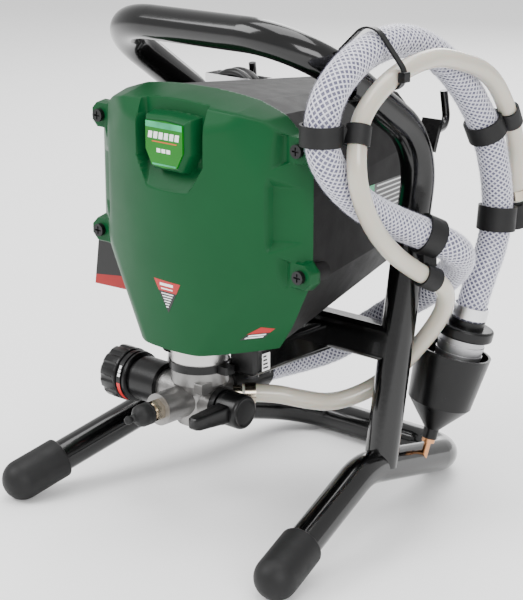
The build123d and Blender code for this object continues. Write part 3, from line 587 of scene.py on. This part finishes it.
def cover_depth(x, z):
    """How far in front of the stand's plane the cover's outer surface lies."""
    side = abs(x)
    crown = CROWN_DEPTH - side * side / CROWN_WIDTH
    brow = BROW_DEPTH - side * side / BROW_WIDTH - 0.39 * (z - BROW_Z)
    depth = soft_min(crown, brow, 1.6)

    def flat_face(face):
        offset, per_side, per_height, blend = face
        return soft_min(depth, offset + per_side * side + per_height * z, blend)
    depth = flat_face(CORNER_FACE)
    depth = soft_min(depth, FLANK_DEPTH - FLANK_SLOPE * (side - FLANK_X), 3)
    depth = flat_face(LOWER_FACE)
    depth = flat_face(FOOT_FACE)
    top_edge = TOP_Z - 0.0012 * side * side - 0.15 * max(0, side - SHOULDER_X)
    depth = soft_min(depth, -SEAM_Y + (top_edge - z) * TOP_SLOPE, 3)
    reach, per_side, per_height = TOP_CORNER
    top_corner = -SEAM_Y + (reach - per_side * side - per_height * z) * TOP_CORNER_SLOPE
    depth = soft_min(depth, top_corner, 3)

    outward, inner_wall, ends = POCKET_SLOPES
    low_z, high_z = POCKET_Z
    pocket = (POCKET_DEPTH - outward * (side - POCKET_X) + inner_wall * max(0, POCKET_X - side)
              + ends * max(0, z - high_z, low_z - z))
    depth = soft_min(depth, pocket, 0.6)
    for lug_x, lug_z in LUGS:
        low_z, high_z = lug_z - LUG_HALF, lug_z + LUG_HALF
        cut = box_outside(side, z, lug_x - LUG_SCOOP, lug_x + LUG_SCOOP, low_z, high_z)
        depth = soft_min(depth, LUG_FACE + LUG_SCOOP_SLOPE * max(0, cut), 1.0)
        proud = box_outside(side, z, lug_x - LUG_HALF, lug_x + LUG_HALF, low_z, high_z)
        chamfer = side - lug_x + abs(z - lug_z) - LUG_CHAMFER
        depth = soft_max(depth, LUG_FACE - LUG_WALL_SLOPE * max(0, proud, chamfer), 1.0)

    floor = (RECESS_FLOOR + RECESS_RAMP * max(0, RECESS_RAMP_Z - z)
             + RECESS_WALL_SLOPE * max(0, outside(RECESS, x, z)))
    depth = soft_min(depth, floor, 0.7)
    from_badge = outside(BADGE, x, z)
    island = BADGE_SEAT
    for slope, start in (ISLAND_BEVEL, ISLAND_WALL):
        island -= slope * max(0, from_badge - start)
    return soft_max(depth, island, 0.6)


def cover_point(x, z, lift=0.0):
    return at(x, -cover_depth(x, z) - lift, z)


def make_front_cover(materials):
    columns = [COVER_LEFT + COVER_STEP * i for i in range(COVER_COLUMNS)]
    rows = [COVER_LOW + COVER_STEP * i for i in range(COVER_ROWS)]
    while rows[-1] < COVER_HIGH:
        rows.append(rows[-1] + COVER_FINE_STEP)
    cover = bmesh.new()
    grid = [[cover.verts.new(cover_point(x, z)) for x in columns] for z in rows]
    for low, high in zip(grid, grid[1:]):
        for c in range(len(columns) - 1):
            cover.faces.new((low[c], low[c + 1], high[c + 1], high[c]))
    front_z, seam_z = COVER_BOTTOM
    for place, normal in ((at(0, SEAM_Y, 0), Vector((0, 1, 0))),
                          (at(0, COVER_FRONT_Y, front_z),
                           Vector((0, seam_z - front_z, COVER_FRONT_Y - SEAM_Y)).normalized())):
        everything = cover.verts[:] + cover.edges[:] + cover.faces[:]
        bmesh.ops.bisect_plane(cover, geom=everything, plane_co=place, plane_no=normal,
                               clear_outer=True, dist=1e-7)
    add_cover_floor(cover)
    mesh = bpy.data.meshes.new("front_cover_moulding")
    bmesh.ops.remove_doubles(cover, verts=cover.verts, dist=2e-6)
    cover.to_mesh(mesh)
    cover.free()
    mesh.materials.append(materials["cover_green"])
    piece = bpy.data.objects.new("front_cover_moulding", mesh)
    bpy.context.collection.objects.link(piece)
    mesh.shade_smooth()
    mesh.set_sharp_from_angle(angle=math.radians(50))
    wall = piece.modifiers.new("wall", "SOLIDIFY")
    wall.thickness = COVER_WALL * MM
    wall.offset = -1
    settle(piece, "root", ["front_cover"])


def floor_height(y):
    """Height of the cover's bottom plane."""
    front_z, seam_z = COVER_BOTTOM
    return front_z + (seam_z - front_z) * (y - COVER_FRONT_Y) / (SEAM_Y - COVER_FRONT_Y)


def add_cover_floor(cover):
    """Closes the cover below, with a notch where the pump's sleeve comes down."""
    rim = [v for v in cover.verts if v.is_boundary and
           abs(v.co.z / MM - floor_height(v.co.y / MM - ORIGIN_Y)) < 0.02]
    rim.sort(key=lambda v: v.co.x)
    loop = [Vector((v.co.x, v.co.y)) for v in rim]
    reach = math.acos((PUMP_Y - SEAM_Y) / SLEEVE_GAP_R)
    for index in range(NOTCH_STEPS + 1):
        angle = reach * (1 - 2 * index / NOTCH_STEPS)
        place = at(SLEEVE_GAP_R * math.sin(angle), PUMP_Y - SLEEVE_GAP_R * math.cos(angle), 0)
        loop.append(place.to_2d())
    flat = delaunay_2d_cdt(loop, [], [list(range(len(loop)))], 1, 1e-7)
    made = [cover.verts.new((p.x, p.y, floor_height(p.y / MM - ORIGIN_Y) * MM)) for p in flat[0]]
    for face in flat[2]:
        cover.faces.new([made[i] for i in reversed(face)])


# ---------------------------------------------------------------- small parts and prints
CELLS = 6
KNOB_BASE_X = -58.5
KNOB_Z = 99
KNOB_FLUTES = 12
KNOB_SIDES = 144
KNOB_RING_R = 19.7
BADGE_FACE_Y = -122
RAIL_FACE_X = 48
LEVER_X = 35.3
LEVER_RIBS = 10
PRIME_BASE_X = 27.4
PRIME_Y = -90
PRIME_Z = 97
OUTLET_X = -3
ARM_Z = 98
CAP_MOUTH_Y = -138
TAG_PRINT_Z = 157
SHROUD_SIDE_X = (99, 62)           # at the front and back of the shroud's side
SHROUD_SIDE_Y = (-82, 78)
SHROUD_LABEL = [(3, 226), (68, 225.5), (70.5, 249.5), (5, 252.5)]


def between(a, b, share):
    return tuple(p + (q - p) * share for p, q in zip(a, b))


def slab(shape, corners, surface, kind=0, lift=0.15, thickness=0.25):
    """Thin four-cornered layer that lies on a surface; surface(x, z, lift) gives its points."""
    low_left, low_right, high_right, high_left = corners
    layers = []
    for height in (lift, lift - thickness):
        for row in range(CELLS + 1):
            left = between(low_left, high_left, row / CELLS)
            right = between(low_right, high_right, row / CELLS)
            layers += [surface(*between(left, right, c / CELLS), height) for c in range(CELLS + 1)]
    size = CELLS + 1
    under = size * size
    faces = []
    for row in range(CELLS):
        for c in range(CELLS):
            a = row * size + c
            faces.append((a, a + 1, a + size + 1, a + size))
            faces.append((under + a + size, under + a + size + 1, under + a + 1, under + a))
    rim = (list(range(size)) + [r * size + CELLS for r in range(1, size)]
           + [CELLS * size + c for c in range(CELLS - 1, -1, -1)]
           + [r * size for r in range(CELLS - 1, 0, -1)])
    for a, b in zip(rim, rim[1:] + rim[:1]):
        faces.append((under + a, under + b, b, a))
    shape.add(layers, faces, kind)


def bar(low_x, low_z, high_x, high_z, slant=0.0):
    return [(low_x, low_z), (high_x, low_z), (high_x + slant, high_z), (low_x + slant, high_z)]


def flat_print(name, color, roughness=0.35):
    return varied(name, color, roughness, 0.05, 80)


def make_prints():
    """Generic marks: badge bars, two stickers on the cover, one on the rail, one on the shroud."""
    white = flat_print("print_white", (0.85, 0.85, 0.85))
    orange = flat_print("print_orange", (0.42, 0.09, 0.004))
    teal = varied("print_teal", (0.003, 0.34, 0.14), 0.25, 0.3, 60)
    red = flat_print("print_red", (0.36, 0.003, 0.003))
    black = flat_print("print_black", (0.002, 0.002, 0.0022))
    badge = Shape()

    def badge_face(x, z, lift):
        return at(x, BADGE_FACE_Y - lift, z)
    slab(badge, bar(-17.6, 303.8, 17.6, 308), badge_face, 2)
    slab(badge, bar(-11.4, 277.4, 11.4, 278.6), badge_face, 2)
    for index in range(6):
        left = -15.5 + index * 5.2
        slab(badge, bar(left, 296.2, left + 3.8, 301.0, 0.8), badge_face, 0)
    slab(badge, bar(-11.5, 293.6, 12.5, 294.5), badge_face, 1)
    for index in range(3):
        slab(badge, bar(-7 + index * 4.8, 286.6, -3.4 + index * 4.8, 289.4), badge_face, 0)
    badge.build("badge_marks", [white, orange, teal], weld=False)

    stickers = Shape()
    left, right, tip = (-14.6, 193.5), (11.9, 192.8), (0.5, 170.0)
    low_left, low_right = between(left, tip, 0.34), between(right, tip, 0.34)
    tip_left, tip_right = between(left, tip, 0.985), between(right, tip, 0.985)
    slab(stickers, [tip_left, tip_right, low_right, low_left], cover_point, 3)
    slab(stickers, [low_left, low_right, right, left], cover_point, 2)
    slab(stickers, bar(-8.0, 189.4, 5.0, 191.3), cover_point, 0, 0.3)
    slab(stickers, bar(-6.8, 186.8, 4.6, 187.7), cover_point, 0, 0.3)
    for row, half in enumerate((7.0, 5.8, 4.4, 3.4, 2.3, 1.4)):
        z = 183.4 - row * 1.9
        slab(stickers, bar(-0.6 - half * 0.85, z, -0.6 + half * 0.85, z + 0.75), cover_point, 0, 0.3)
    slab(stickers, [(53.5, 156.6), (67.5, 158.8), (71.5, 163.4), (58.5, 161.2)], cover_point, 3)
    slab(stickers, [(58.5, 161.4), (71.7, 163.6), (75.0, 166.6), (67.5, 167.6)], cover_point, 2)
    slab(stickers, [(56.4, 157.8), (66.8, 159.5), (67.8, 160.6), (57.6, 158.9)], cover_point, 0, 0.3)
    slab(stickers, [(58.6, 159.8), (68.6, 161.4), (69.6, 162.5), (59.8, 160.9)], cover_point, 0, 0.3)
    stickers.build("cover_stickers", [white, orange, red, black], weld=False)

    rail = Shape()

    def rail_face(y, z, lift):
        return at(RAIL_FACE_X + lift, y, z)
    slab(rail, bar(-73, 124.3, -64.5, 137.5), rail_face, 0)
    for row in range(4):
        slab(rail, bar(-72, 126 + row * 2.9, -66.5 - row * 0.7, 127.3 + row * 2.9), rail_face, 3, 0.3)
    rail.build("rail_sticker", [white, orange, red, black], weld=False)

    shroud = Shape()
    front_x, back_x = SHROUD_SIDE_X
    front_y, back_y = SHROUD_SIDE_Y

    def shroud_face(y, z, lift):
        return at(front_x + (back_x - front_x) * (y - front_y) / (back_y - front_y) + lift, y, z)
    low_front, low_back, high_back, high_front = SHROUD_LABEL
    slab(shroud, SHROUD_LABEL, shroud_face, 0)
    low_split, high_split = between(low_front, low_back, 0.22), between(high_front, high_back, 0.22)
    slab(shroud, [low_front, low_split, high_split, high_front], shroud_face, 1, 0.3)
    for row in range(7):
        low, high = (row + 0.30) / 7, (row + 0.62) / 7
        ends = [between(low_front, high_front, low), between(low_back, high_back, low),
                between(low_back, high_back, high), between(low_front, high_front, high)]
        slab(shroud, [between(ends[0], ends[1], 0.28), between(ends[0], ends[1], 0.95),
                      between(ends[3], ends[2], 0.95), between(ends[3], ends[2], 0.28)], shroud_face, 2, 0.3)
    label_grey = flat_print("label_grey", (0.035, 0.035, 0.035))
    shroud.build("shroud_label", [label_grey, teal, white], weld=False)


def make_pressure_knob(materials):
    """Fluted knob with a stepped collar, and a red band beside white marks on its ring."""
    shape = Shape()
    profile = [(0, 9, 0), (0, 15.2, 0), (0.6, 16, 0), (2.6, 16, 0), (3.0, 18.6, 0), (3.6, 19.3, 0),
               (5.4, 19.3, 0), (5.8, 18.2, 0), (6.4, 18.2, 0), (6.8, 19.7, 0), (10.6, 19.7, 0),
               (11.0, 19.0, 0), (11.8, 19.0, 0), (12.2, 20.1, 0), (13.0, 20.5, 0), (14.4, 20.5, 1.0),
               (16, 20.5, 1.3), (26.6, 20.5, 1.3), (28.2, 19.8, 1.0), (29.6, 18.4, 0.4), (30.4, 17.0, 0),
               (30.5, 15.6, 0), (29.9, 14.8, 0), (29.9, 0.01, 0)]
    rings = []
    for distance, radius, depth in profile:
        ring = []
        for index in range(KNOB_SIDES):
            angle = 2 * math.pi * index / KNOB_SIDES
            wave = math.cos(KNOB_FLUTES * angle)
            flute = min(1, max(0, (wave - 0.35) * 5))
            r = radius - depth * flute
            ring.append(at(KNOB_BASE_X - distance, PUMP_Y + r * math.sin(angle),
                           KNOB_Z + r * math.cos(angle)))
        rings.append(ring)
    shape.rings(rings, 0)
    white = flat_print("dial_white", (0.85, 0.85, 0.85))
    red = flat_print("dial_red", (0.50, 0.004, 0.003))

    def ring_face(angle, x, lift):
        turn = math.radians(angle)
        r = KNOB_RING_R + lift
        return at(x, PUMP_Y - r * math.cos(turn), KNOB_Z - r * math.sin(turn))
    slab(shape, bar(4, -69.0, 56, -65.4), ring_face, 1)
    for low, high in ((-36, -29), (-27, -20), (-18, -11)):
        slab(shape, bar(low, -68.2, high, -66.2 + (low + 36) / 30), ring_face, 2)
    shape.build("pressure_knob_grip", [materials["black_plastic"], red, white], 35, "regulator_dial",
                ["pressure_knob"], weld=False)


def make_prime_knob(materials):
    """Round knob with a dished face and a tapered lever with ribs on top."""
    shape = Shape()
    axis = at(PRIME_BASE_X, PRIME_Y, PRIME_Z)
    lathe(shape, axis, (1, 0, 0), [(0, 0.01), (0, 12.0), (0.5, 12.7), (3.0, 12.7), (3.3, 12.3), (3.9, 12.3),
                                   (4.2, 12.8), (17.0, 12.8), (18.6, 12.3), (19.5, 11.3), (19.7, 10.6),
                                   (19.2, 10.0), (18.9, 8.0), (18.8, 0.01)], 72)
    sections = [(-92, 35.5, 7.5, 7.0), (-102, 35.4, 7.0, 6.6), (-112, 35.3, 6.2, 6.0), (-122, 35.1, 5.6, 5.4),
                (-129, 35.0, 5.2, 5.0), (-132, 35.0, 4.4, 4.2), (-133, 35.0, 3.0, 2.9)]
    rings = []
    for y, x, half_x, half_z in sections:
        ring = []
        for index in range(32):
            angle = 2 * math.pi * index / 32
            c, s = math.cos(angle), math.sin(angle)
            ring.append(at(x + half_x * math.copysign(abs(c) ** 0.35, c), y,
                           PRIME_Z + half_z * math.copysign(abs(s) ** 0.35, s)))
        rings.append(ring)
    shape.rings(rings)
    for index in range(LEVER_RIBS):
        y = -104.5 - index * 2.1
        share = (y + 102) / -30
        half, top = 5.0 - share * 1.2, PRIME_Z + 6.7 - share * 1.6
        rib = []
        for foot_y, crest_y in ((y, y + 0.3), (y + 1.1, y + 0.8)):
            rib.append([at(LEVER_X - half, foot_y, top - 0.8), at(LEVER_X + half, foot_y, top - 0.8),
                        at(LEVER_X + half * 0.96, crest_y, top), at(LEVER_X - half * 0.96, crest_y, top)])
        shape.rings(rib)
    shape.build("prime_lever_knob", [materials["black_plastic"]], 35, "prime_lever",
                ["prime_knob"], weld=False)


def make_outlet_cap(materials):
    shape = Shape()
    lathe(shape, at(OUTLET_X, CAP_MOUTH_Y, ARM_Z), (0, -1, 0),
          [(10.2, 0.01), (10.2, 6.65), (0, 6.65), (0, 7.6), (0.6, 8.3), (2.0, 8.3), (2.4, 7.9), (3.0, 7.9),
           (3.4, 8.3), (8.0, 8.3), (10.4, 7.7), (12.2, 6.2), (13.2, 4.4), (13.8, 3.4), (15.0, 3.0),
           (16.6, 2.9), (17.2, 2.2), (17.9, 2.0), (18.6, 2.5), (19.8, 3.1), (21.2, 3.2), (22.8, 2.6),
           (23.8, 1.4), (24.2, 0.01)], 56)
    shape.build("outlet_cap_rubber", [materials["rubber_black"]], 40, "tip_cap",
                ["outlet_cap"], weld=False)


def tag_material():
    """Card printed black above and red below."""
    material, shader, tree = new_material("tag_card", (0.02, 0.02, 0.02), 0.4)
    source = tree.nodes.new("ShaderNodeTexCoord")
    split = tree.nodes.new("ShaderNodeSeparateXYZ")
    tree.links.new(source.outputs["Object"], split.inputs[0])
    height = tree.nodes.new("ShaderNodeMapRange")
    height.inputs["From Min"].default_value = TAG_PRINT_Z * MM - 0.0002
    height.inputs["From Max"].default_value = TAG_PRINT_Z * MM + 0.0002
    tree.links.new(split.outputs["Z"], height.inputs["Value"])
    colors = ramp(tree, height.outputs["Result"], [(0.0, (0.36, 0.003, 0.003)), (1.0, (0.003, 0.003, 0.003))])
    tree.links.new(colors, shader.inputs["Base Color"])
    return material


# ---------------------------------------------------------------- the scene
MATERIALS = make_materials()
add_camera()
make_suction_hose(MATERIALS)
make_drain_hose(MATERIALS)
make_power_cord(MATERIALS)
make_front_cover(MATERIALS)
make_prints()
make_pressure_knob(MATERIALS)
make_prime_knob(MATERIALS)
make_outlet_cap(MATERIALS)
add_studio()
dress_nodes(MATERIALS)
frame["nodes"]["hang_tag"].material_slots[0].material = tag_material()
